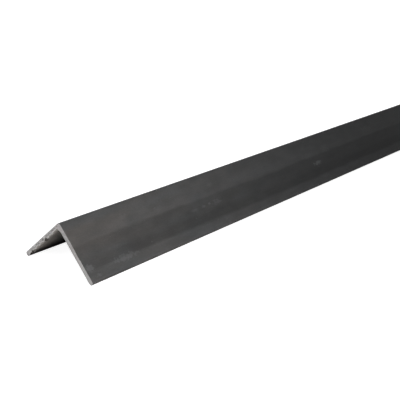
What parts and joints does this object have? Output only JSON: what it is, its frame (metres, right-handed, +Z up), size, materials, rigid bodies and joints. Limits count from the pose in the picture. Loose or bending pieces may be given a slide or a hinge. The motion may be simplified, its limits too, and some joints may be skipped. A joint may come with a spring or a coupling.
{
  "type": "metal angle section",
  "caption": "Straight hot-rolled steel equal angle in mill-scale finish, with two legs at a right angle, rounded toes, a filleted root and square-cut ends.",
  "frame": {"origin": "on the ground, midway between the two toes and halfway along the bar, under the heel", "axes": "+X along the bar from the near end to the far end, +Y towards the back leg, +Z up through the heel"},
  "size_m": [1, 0.0694, 0.0363],
  "materials": {
    "mill_scale_steel": "dark grey hot-rolled mill scale, matt to satin, with pale saw-cut ends"
  },
  "bodies": {
    "root": {"steel_angle": "mill_scale_steel"}
  },
  "joints": []
}
